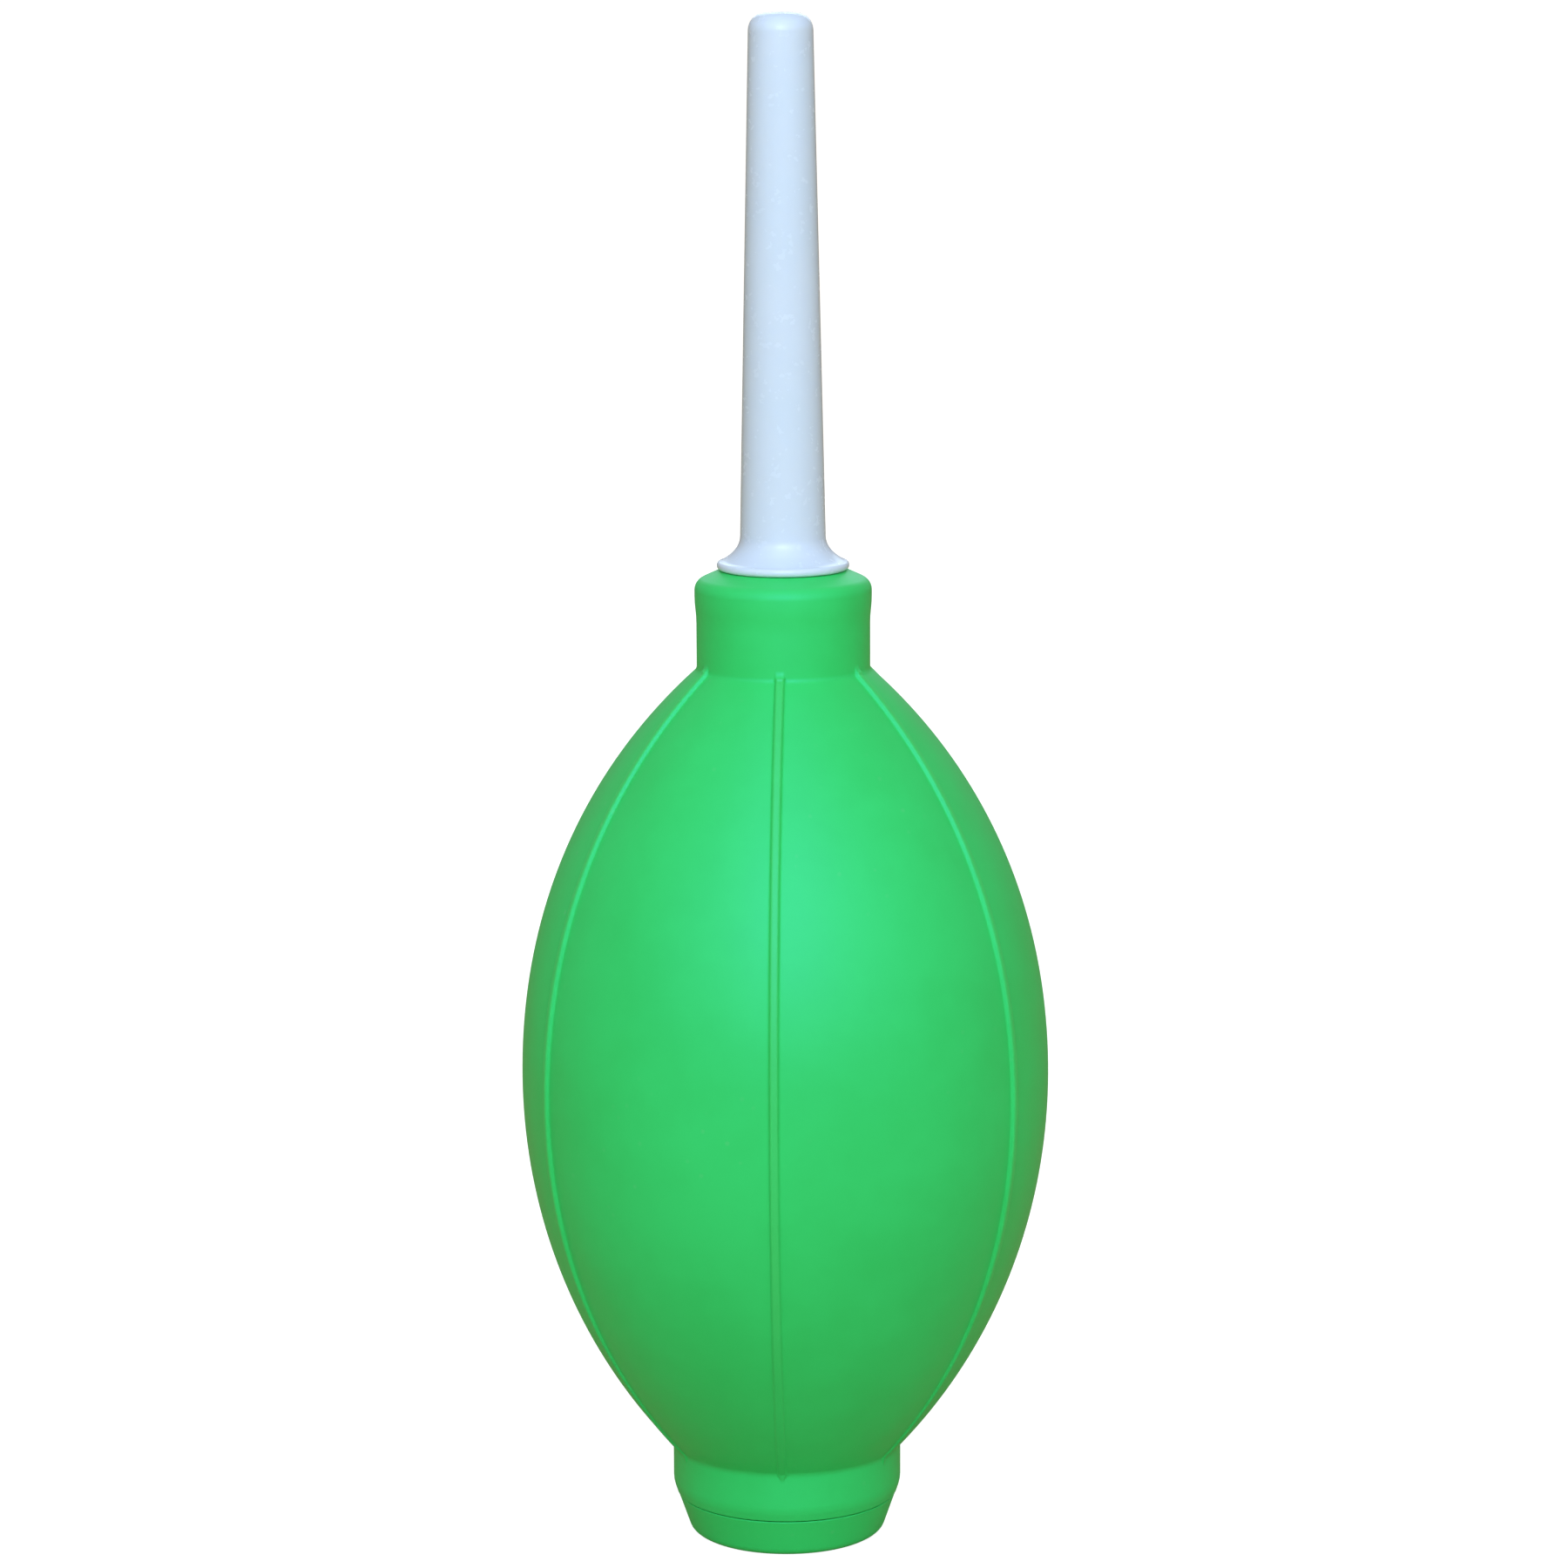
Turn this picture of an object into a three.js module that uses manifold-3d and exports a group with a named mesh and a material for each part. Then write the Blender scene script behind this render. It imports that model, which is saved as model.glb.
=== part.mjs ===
// Rubber bulb blower. A hollow, ribbed rubber bulb is squeezed to push air out of a long
// nozzle at its neck, and draws new air in through a valve in its foot cap as it swells
// back. Each end has a one-way disc valve, and both pass air upwards.
// Millimetres, +Z up. The origin is the centre of the flat underside that it stands on.

import * as THREE from "three";
import { mergeVertices } from "three/addons/utils/BufferGeometryUtils.js";
import Module from "manifold-3d";

// ---- Driving dimensions ----

// Gaps: between pieces that sit side by side, and between faces that rest on each other.
const FIT_GAP = 0.3;
const REST_GAP = 0.1;
const SEAM_GAP = 0.3;

// Bulb, outside. Two flank arcs meet at the widest ring and end at the neck and the collar.
const BULB_RADIUS = 28.5;
const LOWER_FLANK = 41.6;
const UPPER_FLANK = 44.4;
const BULB_WALL = 2.4;
const FLANK_STEPS = 8;

// Collar: the straight band under the belly, drawn in a little at its lower edge.
const COLLAR_RADIUS = 12.5;
const COLLAR_LENGTH = 5.1;
const COLLAR_TAPER_LENGTH = 1.1;
const COLLAR_TAPER = 0.4;

// Neck, with a slight lip where the nozzle's stem swells it and a sloping top.
const NECK_RADIUS = 9.3;
const NECK_LENGTH = 9.5;
const NECK_LIP = 0.2;
const LIP_HEIGHT = 2.6;
const NECK_ROUND = 1.1;
const NECK_ROUND_SWEEP_DEG = 70;
const NECK_TOP_SLOPE = 0.6;

// Ribs along the belly.
const RIB_COUNT = 6;
const RIB_WIDTH = 1.4;
const RIB_HEIGHT = 0.5;
const RIB_ROOT = 1.0;

// How far each side wall of the bulb is pressed in by a full squeeze.
const SQUEEZE = 12;
const SQUEEZE_MARGIN = 0.3;
const WALL_OUTLINE_STEPS = 12;

// Foot cap.
const FOOT_HEIGHT = 4.2;
const FOOT_TAPER = 1.4;
const FOOT_ROUND = 0.7;
const FOOT_ROUND_SWEEP_DEG = 75;
const FOOT_FLOOR = 2.2;
const INLET_RADIUS = 3.6;
const INLET_CHAMFER = 0.6;
const PLUG_WALL = 1.9;
const PLUG_RIM = 0.5;
const BEAD_HEIGHT = 0.6;
const BEAD_WIDTH = 1.2;
const BEAD_ABOVE_SEAM = 2.4;

// Nozzle.
const NOZZLE_LENGTH = 58.4;
const NOZZLE_ROOT_RADIUS = 4.6;
const NOZZLE_TIP_RADIUS = 3.44;
const NOZZLE_ROUND = 1.7;
const TIP_BORE_RADIUS = 1.2;
const TIP_CHAMFER = 0.25;
const ROOT_BORE_RADIUS = 2.9;
const FLANGE_RADIUS = 7.05;
const FLANGE_THICKNESS = 0.9;
const RIM_ROUND_SWEEP_DEG = 150;
const FLARE_HEIGHT = 2.9;
const FLARE_POWER = 2.1;
const FLARE_STEPS = 6;
const STEM_LENGTH = 15.2;
const STEM_WALL = 1.1;
const BARB_COUNT = 3;
const BARB_HEIGHT = 0.5;
const BARB_PITCH = 3.2;
const BARB_LENGTH = 1.8;

// Valves. Each is a cup with a raised seat round its port, a loose rubber disc, and a
// spoked cap that stops the disc's lift.
const INTAKE_VALVE = {
  radius: 6.0,
  wall: 1.1,
  floor: 1.4,
  portRadius: 2.4,
  seatWidth: 0.7,
  seatHeight: 0.5,
  discThickness: 0.8,
  discOverlap: 1.0,
  lift: 1.2,
  capHeight: 1.6,
  capWidth: 1.2,
  hubRadius: 1.3,
  spokeWidth: 1.0,
  rim: 0.9,
};
const OUTLET_VALVE = {
  radius: 3.8,
  wall: 0.7,
  floor: 1.1,
  portRadius: 1.4,
  seatWidth: 0.5,
  seatHeight: 0.4,
  discThickness: 0.6,
  discOverlap: 0.6,
  lift: 1.0,
  capHeight: 1.2,
  capWidth: 0.7,
  hubRadius: 0.8,
  spokeWidth: 0.7,
  rim: 0.9,
};
const SPOKE_COUNT = 4;

// Facets round the axis, where the bulb's number is a multiple of the rib count, and steps
// along each small rounded edge. An edge shorter than a sliver is left out.
const BULB_FACETS = 48;
const SMALL_FACETS = 36;
const ROUND_STEPS = 4;
const SLIVER = 0.01;

// ---- Sizes that follow from the driving ones ----

const collarBottom = FOOT_HEIGHT + SEAM_GAP;
const collarTop = collarBottom + COLLAR_LENGTH;
const widestHeight = collarTop + LOWER_FLANK;
const neckBottom = widestHeight + UPPER_FLANK;
const neckTop = neckBottom + NECK_LENGTH;

const footRadius = COLLAR_RADIUS - COLLAR_TAPER - FOOT_TAPER;
const intakeBottom = FOOT_FLOOR + REST_GAP;
const plugTop = intakeBottom + cupHeight(INTAKE_VALVE) + PLUG_RIM;
const intakePocket = INTAKE_VALVE.radius + FIT_GAP;
const plugRadius = intakePocket + PLUG_WALL;
const collarBore = plugRadius + FIT_GAP;
const beadMiddle = collarBottom + BEAD_ABOVE_SEAM;

const outletPocket = OUTLET_VALVE.radius + FIT_GAP;
const stemRadius = outletPocket + STEM_WALL;
const neckBore = stemRadius + BARB_HEIGHT + FIT_GAP;

const flangeBottom = neckTop + NECK_TOP_SLOPE + SEAM_GAP;
const flangeTop = flangeBottom + FLANGE_THICKNESS;
const nozzleTop = flangeBottom + NOZZLE_LENGTH;
const stemBottom = flangeBottom - STEM_LENGTH;
const outletBottom = stemBottom + REST_GAP;
const outletPocketTop = outletBottom + cupHeight(OUTLET_VALVE) + REST_GAP;

const upperArc = flankArc(UPPER_FLANK, BULB_RADIUS - NECK_RADIUS);
const lowerArc = flankArc(LOWER_FLANK, BULB_RADIUS - COLLAR_RADIUS);

// A valve cup holds its seat, the disc's thickness and lift, and the cap under a low rim.
function cupHeight(v) {
  const lower = v.floor + v.seatHeight + REST_GAP + v.discThickness;
  return lower + v.lift + REST_GAP + v.capHeight + v.rim;
}

// ---- Materials ----

const GREEN_RUBBER = new THREE.MeshStandardMaterial({
  color: 0x35c46c,
  roughness: 0.55,
  metalness: 0,
});
const WHITE_PLASTIC = new THREE.MeshStandardMaterial({
  color: 0xe6eefa,
  roughness: 0.25,
  metalness: 0,
});
const VALVE_PLASTIC = new THREE.MeshStandardMaterial({
  color: 0xdfe3e6,
  roughness: 0.45,
  metalness: 0,
});
const VALVE_RUBBER = new THREE.MeshStandardMaterial({
  color: 0x2b2d30,
  roughness: 0.7,
  metalness: 0,
});

// ---- Profile helpers, all in the (radius, height) plane ----

// The arc that drops from the widest ring by `rise` along the axis and `sagitta` inwards.
function flankArc(rise, sagitta) {
  const radius = (rise * rise + sagitta * sagitta) / (2 * sagitta);
  return { radius, centre: BULB_RADIUS - radius };
}

// Points along a circular arc, both ends included. Angles are in degrees from +radius.
function arcPoints(centreR, centreZ, radius, fromDeg, toDeg, steps = ROUND_STEPS) {
  const points = [];
  for (let i = 0; i <= steps; i++) {
    const angle = THREE.MathUtils.degToRad(
      THREE.MathUtils.lerp(fromDeg, toDeg, i / steps),
    );
    points.push([
      centreR + radius * Math.cos(angle),
      centreZ + radius * Math.sin(angle),
    ]);
  }
  return points;
}

// The angle above the widest ring at which a flank, taken in by `inset`, is `r` wide.
function flankAngle(arc, inset, r) {
  return THREE.MathUtils.radToDeg(
    Math.acos((r - arc.centre) / (arc.radius - inset)),
  );
}

// The bulb's side from radius `fromR` below the widest ring to `toR` above it.
function bellyPoints(inset, fromR, toR) {
  const lower = arcPoints(
    lowerArc.centre,
    widestHeight,
    lowerArc.radius - inset,
    -flankAngle(lowerArc, inset, fromR),
    0,
    FLANK_STEPS,
  );
  const upper = arcPoints(
    upperArc.centre,
    widestHeight,
    upperArc.radius - inset,
    0,
    flankAngle(upperArc, inset, toR),
    FLANK_STEPS,
  );
  return [...lower, ...upper.slice(1)];
}

// The radius of the bulb's wall, taken in by `inset`, at a height on the belly.
function bellyRadius(height, inset) {
  const arc = height < widestHeight ? lowerArc : upperArc;
  const radius = arc.radius - inset;
  return (
    arc.centre + Math.sqrt(Math.max(0, radius ** 2 - (height - widestHeight) ** 2))
  );
}

// ---- Solid helpers ----

const wasm = await Module();
wasm.setup();

// A three.js geometry as a manifold-3d solid.
function toSolid(geometry) {
  const bare = geometry.index ? geometry.toNonIndexed() : geometry.clone();
  bare.deleteAttribute("normal");
  bare.deleteAttribute("uv");
  const merged = mergeVertices(bare, 1e-4);
  return new wasm.Manifold(
    new wasm.Mesh({
      numProp: 3,
      vertProperties: merged.attributes.position.array,
      triVerts: new Uint32Array(merged.index.array),
    }),
  );
}

// A manifold-3d solid as a three.js geometry, rid of slivers too small to be real edges.
function toGeometry(solid) {
  const mesh = solid.simplify(SLIVER).getMesh();
  const geometry = new THREE.BufferGeometry();
  geometry.setAttribute(
    "position",
    new THREE.BufferAttribute(new Float32Array(mesh.vertProperties), 3),
  );
  geometry.setIndex(new THREE.BufferAttribute(new Uint32Array(mesh.triVerts), 1));
  geometry.computeVertexNormals();
  return geometry;
}

// A closed (radius, height) outline, listed anticlockwise, turned about the Z axis. The
// last turn puts an edge of the facets at the front, where a rib runs.
function turned(outline, facets = SMALL_FACETS) {
  const points = [...outline, outline[0]].map(([r, z]) => new THREE.Vector2(r, z));
  const geometry = new THREE.LatheGeometry(points, facets);
  geometry.rotateX(Math.PI / 2);
  geometry.rotateZ(Math.PI / 2);
  return toSolid(geometry);
}

// A plain upright cylinder between two heights.
function cylinder(radius, bottom, top) {
  const geometry = new THREE.CylinderGeometry(
    radius,
    radius,
    top - bottom,
    SMALL_FACETS,
  );
  geometry.rotateX(Math.PI / 2);
  geometry.translate(0, 0, (bottom + top) / 2);
  return toSolid(geometry);
}

function addMesh(group, name, solid, material) {
  const mesh = new THREE.Mesh(toGeometry(solid), material);
  mesh.name = name;
  group.add(mesh);
}

// ---- Bulb ----

// The neck's outside, from its foot to the inner edge of its sloping top.
function neckPoints() {
  const lipRadius = NECK_RADIUS + NECK_LIP;
  const lipBottom = neckTop - LIP_HEIGHT;
  return [
    [NECK_RADIUS, lipBottom - LIP_HEIGHT / 2],
    [lipRadius, lipBottom],
    ...arcPoints(
      lipRadius - NECK_ROUND,
      neckTop - NECK_ROUND,
      NECK_ROUND,
      0,
      NECK_ROUND_SWEEP_DEG,
    ),
    [neckBore, neckTop + NECK_TOP_SLOPE],
  ];
}

// The collar's outside, from its drawn-in lower edge up to the belly.
function collarPoints() {
  return [
    [COLLAR_RADIUS - COLLAR_TAPER, collarBottom],
    [COLLAR_RADIUS, collarBottom + COLLAR_TAPER_LENGTH],
  ];
}

// A half-round bead or groove round a radius, as outline points from bottom to top.
function beadPoints(radius, height, width) {
  return [
    [radius, beadMiddle - width / 2],
    [radius + height, beadMiddle - width / 6],
    [radius + height, beadMiddle + width / 6],
    [radius, beadMiddle + width / 2],
  ];
}

// The bulb's wall without its ribs, open at the neck and at the collar.
function bulbShell() {
  const outside = [
    ...collarPoints(),
    ...bellyPoints(0, COLLAR_RADIUS, NECK_RADIUS),
    ...neckPoints(),
  ];
  const inside = [
    [collarBore, collarBottom],
    ...beadPoints(collarBore, BEAD_HEIGHT, BEAD_WIDTH + 2 * FIT_GAP),
    ...bellyPoints(BULB_WALL, collarBore, neckBore),
  ];
  return turned([...outside, ...inside.reverse()], BULB_FACETS);
}

// One rib: a thin plate that follows the belly's side and stands a little proud of it. Its
// ends run into the collar and the neck.
function rib(angle) {
  const fromR = COLLAR_RADIUS - RIB_ROOT;
  const toR = NECK_RADIUS - RIB_ROOT;
  const proud = bellyPoints(-RIB_HEIGHT, fromR, toR);
  const sunk = bellyPoints(RIB_ROOT, fromR, toR);
  const shape = new THREE.Shape(
    [...proud, ...sunk.reverse()].map(([r, z]) => new THREE.Vector2(r, z)),
  );
  const bevel = RIB_HEIGHT / 2;
  const geometry = new THREE.ExtrudeGeometry(shape, {
    depth: RIB_WIDTH - 2 * bevel,
    bevelEnabled: true,
    bevelThickness: bevel,
    bevelSize: bevel,
    bevelOffset: -bevel,
    bevelSegments: 1,
  });
  geometry.translate(0, 0, bevel - RIB_WIDTH / 2);
  geometry.rotateX(Math.PI / 2);
  geometry.rotateZ(angle);
  return toSolid(geometry);
}

function ribbedShell() {
  let shell = bulbShell();
  for (let i = 0; i < RIB_COUNT; i++) {
    const fromFront = (i * 2 * Math.PI) / RIB_COUNT - Math.PI / 2;
    shell = shell.add(rib(fromFront));
  }
  return shell;
}

// The region of wall that a squeeze presses in, as a prism along Y. Its edge is where the
// inside of the wall stands `depth` from the bulb's middle plane, so the front and back
// walls can travel that far before they meet.
function squeezePrism(depth) {
  const halfRange = (arc, rise) =>
    Math.min(
      rise,
      Math.sqrt((arc.radius - BULB_WALL) ** 2 - (depth - arc.centre) ** 2),
    );
  const low = widestHeight - halfRange(lowerArc, LOWER_FLANK);
  const high = widestHeight + halfRange(upperArc, UPPER_FLANK);
  const edge = [];
  for (let i = 0; i <= WALL_OUTLINE_STEPS; i++) {
    const share = (1 - Math.cos((Math.PI * i) / WALL_OUTLINE_STEPS)) / 2;
    const height = THREE.MathUtils.lerp(low, high, share);
    const inner = bellyRadius(height, BULB_WALL);
    const halfWidth = Math.sqrt(Math.max(0, inner ** 2 - depth ** 2));
    edge.push([halfWidth, height]);
  }
  const right = edge.map(([x, z]) => new THREE.Vector2(x, z));
  const left = edge
    .slice(1, -1)
    .reverse()
    .map(([x, z]) => new THREE.Vector2(-x, z));
  const length = 4 * BULB_RADIUS;
  const geometry = new THREE.ExtrudeGeometry(new THREE.Shape([...right, ...left]), {
    depth: length,
    bevelEnabled: false,
  });
  geometry.translate(0, 0, -length / 2);
  geometry.rotateX(Math.PI / 2);
  return toSolid(geometry);
}

// The half of space in front of (-1) or behind (+1) the bulb's middle plane.
function halfSpace(side) {
  const size = 4 * nozzleTop;
  const geometry = new THREE.BoxGeometry(size, size, size);
  geometry.translate(0, (side * size) / 2, 0);
  return toSolid(geometry);
}

// The bulb is one rubber moulding. Its front and back walls are separate solids here so
// that they can be pressed in.
function buildBulb(group) {
  const shell = ribbedShell();
  const opening = squeezePrism(SQUEEZE + SQUEEZE_MARGIN);
  const pressed = squeezePrism(SQUEEZE + SQUEEZE_MARGIN + 2 * FIT_GAP);
  addMesh(group, "bulb_body", shell.subtract(opening), GREEN_RUBBER);
  const walls = shell.intersect(pressed);
  for (const [name, side] of [
    ["bulb_front_wall", -1],
    ["bulb_back_wall", 1],
  ])
    addMesh(group, name, walls.intersect(halfSpace(side)), GREEN_RUBBER);
}

// ---- Foot cap ----

function buildFootCap(group) {
  const footEdge = arcPoints(
    footRadius - FOOT_ROUND,
    FOOT_ROUND,
    FOOT_ROUND,
    -90,
    FOOT_ROUND_SWEEP_DEG - 90,
  );
  const outline = [
    [INLET_RADIUS + INLET_CHAMFER, 0],
    ...footEdge,
    [COLLAR_RADIUS - COLLAR_TAPER, FOOT_HEIGHT],
    [plugRadius, FOOT_HEIGHT],
    ...beadPoints(plugRadius, BEAD_HEIGHT, BEAD_WIDTH),
    [plugRadius, plugTop],
    [intakePocket, plugTop],
    [intakePocket, FOOT_FLOOR],
    [INLET_RADIUS, FOOT_FLOOR],
    [INLET_RADIUS, INLET_CHAMFER],
  ];
  addMesh(group, "foot_cap", turned(outline), GREEN_RUBBER);
}

// ---- Nozzle ----

// The stem's outside from its lower end up to the flange, with its barbs.
function stemPoints() {
  const points = [[stemRadius - BARB_HEIGHT, stemBottom]];
  for (let i = 0; i < BARB_COUNT; i++) {
    const foot = stemBottom + BARB_HEIGHT + i * BARB_PITCH;
    points.push([stemRadius, foot]);
    points.push([stemRadius + BARB_HEIGHT, foot + BARB_LENGTH]);
    points.push([stemRadius, foot + BARB_LENGTH + REST_GAP]);
  }
  points.push([stemRadius, flangeBottom]);
  return points;
}

// The flange's rounded rim and the flare that blends it into the tube.
function flangePoints() {
  const rimRound = FLANGE_THICKNESS / 2;
  const rimCentre = FLANGE_RADIUS - rimRound;
  const rim = arcPoints(
    rimCentre,
    flangeBottom + rimRound,
    rimRound,
    -90,
    RIM_ROUND_SWEEP_DEG - 90,
  );
  const flare = [];
  for (let i = 0; i <= FLARE_STEPS; i++) {
    const share = i / FLARE_STEPS;
    const spread = (1 - share) ** FLARE_POWER;
    flare.push([
      THREE.MathUtils.lerp(NOZZLE_ROOT_RADIUS, rimCentre, spread),
      flangeTop + FLARE_HEIGHT * share,
    ]);
  }
  return [...rim, ...flare];
}

function buildNozzle(group) {
  const tipEdge = arcPoints(
    NOZZLE_TIP_RADIUS - NOZZLE_ROUND,
    nozzleTop - NOZZLE_ROUND,
    NOZZLE_ROUND,
    0,
    90,
  );
  const outline = [
    ...stemPoints(),
    ...flangePoints(),
    ...tipEdge,
    [TIP_BORE_RADIUS + TIP_CHAMFER, nozzleTop],
    [TIP_BORE_RADIUS, nozzleTop - TIP_CHAMFER],
    [ROOT_BORE_RADIUS, flangeTop],
    [ROOT_BORE_RADIUS, outletPocketTop],
    [outletPocket, outletPocketTop],
    [outletPocket, stemBottom],
  ];
  addMesh(group, "nozzle", turned(outline), WHITE_PLASTIC);
}

// ---- Valves ----

function valveCup(v, bottom) {
  const chamber = v.radius - v.wall;
  const top = bottom + cupHeight(v);
  const floorTop = bottom + v.floor;
  const seatTop = floorTop + v.seatHeight;
  return turned([
    [v.portRadius, bottom],
    [v.radius, bottom],
    [v.radius, top],
    [chamber, top],
    [chamber, floorTop],
    [v.portRadius + v.seatWidth, floorTop],
    [v.portRadius + v.seatWidth, seatTop],
    [v.portRadius, seatTop],
  ]);
}

function valveCap(v, capBottom) {
  const outer = v.radius - v.wall - FIT_GAP;
  const inner = outer - v.capWidth;
  const capTop = capBottom + v.capHeight;
  const spokeTop = capBottom + v.capHeight / 2;
  let cap = turned([
    [inner, capBottom],
    [outer, capBottom],
    [outer, capTop],
    [inner, capTop],
  ]);
  cap = cap.add(cylinder(v.hubRadius, capBottom, spokeTop));
  for (let i = 0; i < SPOKE_COUNT / 2; i++) {
    const spoke = new THREE.BoxGeometry(
      inner + outer,
      v.spokeWidth,
      spokeTop - capBottom,
    );
    spoke.translate(0, 0, (capBottom + spokeTop) / 2);
    spoke.rotateZ((2 * Math.PI * i) / SPOKE_COUNT);
    cap = cap.add(toSolid(spoke));
  }
  return cap;
}

function buildValve(group, name, v, bottom) {
  const discRadius = v.portRadius + v.seatWidth + v.discOverlap;
  const discBottom = bottom + v.floor + v.seatHeight + REST_GAP;
  const discTop = discBottom + v.discThickness;
  const capBottom = discTop + v.lift + REST_GAP;
  addMesh(group, `${name}_valve_cup`, valveCup(v, bottom), VALVE_PLASTIC);
  addMesh(
    group,
    `${name}_valve_disc`,
    cylinder(discRadius, discBottom, discTop),
    VALVE_RUBBER,
  );
  addMesh(group, `${name}_valve_cap`, valveCap(v, capBottom), VALVE_PLASTIC);
}

// ---- Assembly ----

const blower = new THREE.Group();
buildBulb(blower);
buildFootCap(blower);
buildNozzle(blower);
buildValve(blower, "intake", INTAKE_VALVE, intakeBottom);
buildValve(blower, "outlet", OUTLET_VALVE, outletBottom);

export default blower;
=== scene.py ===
"""Rubber bulb blower: its visible pieces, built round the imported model.

A ribbed rubber bulb stands on a foot cap and carries a long tapered nozzle. A one-way disc
valve sits in the foot cap and another in the nozzle's stem. Every length is in metres, in the
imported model's own frame: +Z up, with the origin under the middle of the foot.
"""

import logging
import math
from collections.abc import Iterable, Sequence
from dataclasses import dataclass, field
from enum import Enum

import bmesh
import bpy
from mathutils import Matrix, Vector

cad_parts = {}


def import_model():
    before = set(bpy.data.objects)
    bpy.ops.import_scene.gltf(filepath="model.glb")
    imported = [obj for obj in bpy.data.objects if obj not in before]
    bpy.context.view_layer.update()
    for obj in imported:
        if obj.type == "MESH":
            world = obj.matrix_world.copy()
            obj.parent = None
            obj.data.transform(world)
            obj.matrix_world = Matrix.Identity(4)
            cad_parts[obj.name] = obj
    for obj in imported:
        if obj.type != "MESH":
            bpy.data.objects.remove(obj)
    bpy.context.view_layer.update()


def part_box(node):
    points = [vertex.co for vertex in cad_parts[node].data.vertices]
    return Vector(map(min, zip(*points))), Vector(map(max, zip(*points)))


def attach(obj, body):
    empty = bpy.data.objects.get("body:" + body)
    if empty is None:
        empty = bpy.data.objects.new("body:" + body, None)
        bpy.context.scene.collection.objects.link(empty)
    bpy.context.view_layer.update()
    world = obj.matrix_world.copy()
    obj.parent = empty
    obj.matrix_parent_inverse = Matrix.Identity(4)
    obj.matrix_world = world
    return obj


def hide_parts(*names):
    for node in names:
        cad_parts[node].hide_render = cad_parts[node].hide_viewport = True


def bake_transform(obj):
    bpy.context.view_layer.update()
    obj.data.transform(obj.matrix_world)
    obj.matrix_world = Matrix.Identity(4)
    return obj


LOG = logging.getLogger("blower")

MM = 0.001
UP = Vector((0.0, 0.0, 1.0))
FULL_TURN = 2 * math.pi
SHARP_ANGLE = math.radians(38)
ROUNDING_STEP = math.radians(13)
WELD_DISTANCE = 1e-7
JOIN_DISTANCE = 1e-6
DAYLIGHT = (0.65, 0.82, 1.0)

Point = tuple[float, float]
Corner = tuple[float, float, float]
Colour = tuple[float, float, float]


# ---- Lines in the (radius, height) plane ----


def mix(a: float, b: float, share: float) -> float:
    """The value a given share of the way from a to b."""
    return a + (b - a) * share


def ease(share: float) -> float:
    """A share from 0 to 1, clipped, that starts and ends gently."""
    share = min(1.0, max(0.0, share))
    return share * share * (3 - 2 * share)


def arc_points(centre: Point, radius: float, start: float, end: float, steps: int) -> list[Corner]:
    """Unrounded corners along an arc, both ends included, between angles in degrees."""
    angles = [math.radians(mix(start, end, i / steps)) for i in range(steps + 1)]
    return [
        (centre[0] + radius * math.cos(a), centre[1] + radius * math.sin(a), 0.0)
        for a in angles
    ]


def corner_reach(spots: Sequence[Vector], i: int, rounding: float) -> float:
    """How far along its two sides a corner's rounding reaches."""
    back, ahead = spots[i - 1] - spots[i], spots[(i + 1) % len(spots)] - spots[i]
    return rounding * math.tan((math.pi - back.angle(ahead)) / 2) if rounding > 0 else 0.0


def rounded_line(corners: Sequence[Corner], closed: bool = True) -> list[Point]:
    """Rounds the corners of a line.

    Args:
        corners: Each corner as (radius, height, rounding). A rounding of 0 leaves it sharp.
        closed: Whether the last corner joins the first.

    Returns:
        The line's points, with a support point on each side of every rounding so that the
        flats beside it shade flat.
    """
    points: list[Point] = []
    last = len(corners) - 1
    spots = [Vector(corner[:2]) for corner in corners]
    rounds = [c[2] if closed or 0 < i < last else 0.0 for i, c in enumerate(corners)]
    reaches = [corner_reach(spots, i, rounds[i]) for i in range(len(corners))]
    for i, here in enumerate(spots):
        rounding, reach = rounds[i], reaches[i]
        if rounding <= 0:
            points.append(tuple(here))
            continue
        after = (i + 1) % len(spots)
        back, ahead = spots[i - 1] - here, spots[after] - here
        turn = math.pi - back.angle(ahead)
        room = min(
            0.94 * side.length * reach / (reach + other)
            for side, other in ((back, reaches[i - 1]), (ahead, reaches[after]))
        )
        if reach > room:
            rounding, reach = rounding * room / reach, room
        back.normalize()
        ahead.normalize()
        centre = here + (back + ahead).normalized() * rounding / math.cos(turn / 2)
        first = (here + back * reach - centre).normalized()
        final = (here + ahead * reach - centre).normalized()
        steps = max(2, math.ceil(turn / ROUNDING_STEP))
        support = min(0.25 * rounding, 0.03 * room)
        points.append(tuple(here + back * (reach + support)))
        for k in range(steps + 1):
            share = k / steps
            swing = first * math.sin((1 - share) * turn) + final * math.sin(share * turn)
            points.append(tuple(centre + rounding * swing / math.sin(turn)))
        points.append(tuple(here + ahead * (reach + support)))
    return points


def split_long(line: Sequence[Point], longest: float, near: Sequence[Point] = ()) -> list[Point]:
    """Splits the long segments of an open line.

    Args:
        line: The points in order.
        longest: No segment is left longer than this.
        near: Heights with the finer length wanted close to them, as (height, length).

    Returns:
        The points, with new ones between them.
    """
    points = [line[0]]
    for a, b in zip(line, line[1:]):
        middle = (a[1] + b[1]) / 2
        limit = min(
            [longest] + [max(fine, 0.18 * abs(middle - height)) for height, fine in near]
        )
        pieces = max(1, math.ceil(math.dist(a, b) / limit))
        points += [
            (mix(a[0], b[0], k / pieces), mix(a[1], b[1], k / pieces))
            for k in range(1, pieces + 1)
        ]
    return points


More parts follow.
